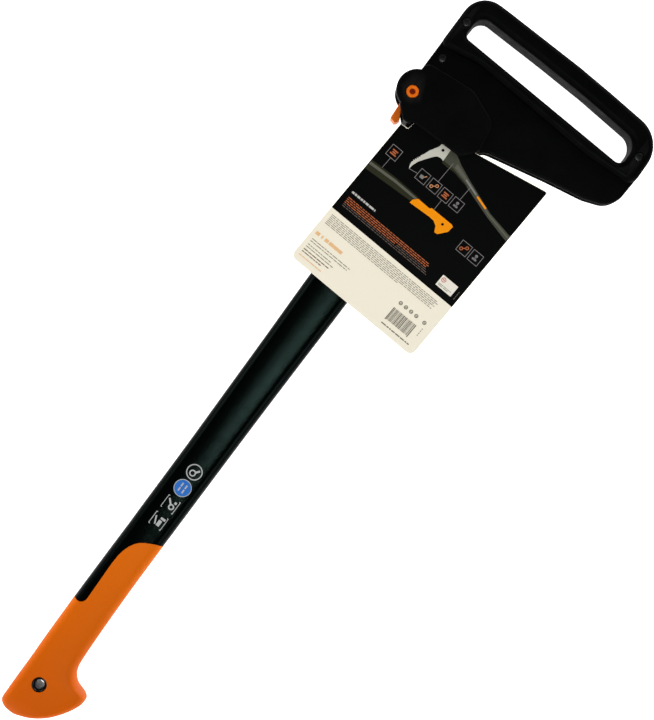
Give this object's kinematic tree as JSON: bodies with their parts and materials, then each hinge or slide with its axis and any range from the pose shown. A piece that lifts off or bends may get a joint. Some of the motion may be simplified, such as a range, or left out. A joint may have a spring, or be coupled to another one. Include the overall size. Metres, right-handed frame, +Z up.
{
  "type": "timber pick with sheath",
  "caption": "Log-lifting pick (sappie) on a long composite shaft with a hooked orange grip, under a black carry sheath with a sprung thumb latch and a printed card.",
  "frame": {"origin": "the middle of the footprint, on the surface that the tool lies on", "axes": "+X along the shaft from butt to head, +Y towards the back of the head, +Z up through the thickness, out of the card's printed face"},
  "size_m": [0.7516, 0.2188, 0.032],
  "materials": {
    "head_steel": "shot-blasted, with a ground edge",
    "shaft_composite": "finely textured glass-filled composite",
    "grip_rubber": "soft satin over-moulding",
    "plug_plastic": "satin",
    "tag_board": "printed and varnished",
    "sheath_plastic": "fine spark-eroded texture",
    "rivet_plastic": "satin",
    "latch_plastic": "satin",
    "spring_steel": "drawn wire"
  },
  "bodies": {
    "tool": {"pick_head": "head_steel", "shaft": "shaft_composite", "grip": "grip_rubber", "butt_plug": "plug_plastic", "tag_card": "tag_board"},
    "sheath": {"sheath_front_shell": "sheath_plastic", "sheath_rear_shell": "sheath_plastic", "sheath_rivet_1": "rivet_plastic", "sheath_rivet_2": "rivet_plastic", "sheath_rivet_3": "rivet_plastic", "latch_spring": "spring_steel"},
    "latch": {"latch_lever": "latch_plastic"}
  },
  "joints": [
    {"name": "sheath_slide", "type": "slide", "parent": "tool", "child": "sheath", "axis": [1, 0, 0], "range_m": [0, 0.085]},
    {"name": "latch_swing", "type": "hinge", "parent": "sheath", "child": "latch", "pos_m": [0.2691, 0.09327, 0.016], "axis": [0, 0, -1], "range_deg": [0, 25], "stiffness_Nm_per_rad": 0.5, "springref_deg": -14.32, "deforming": ["latch_spring"]}
  ]
}
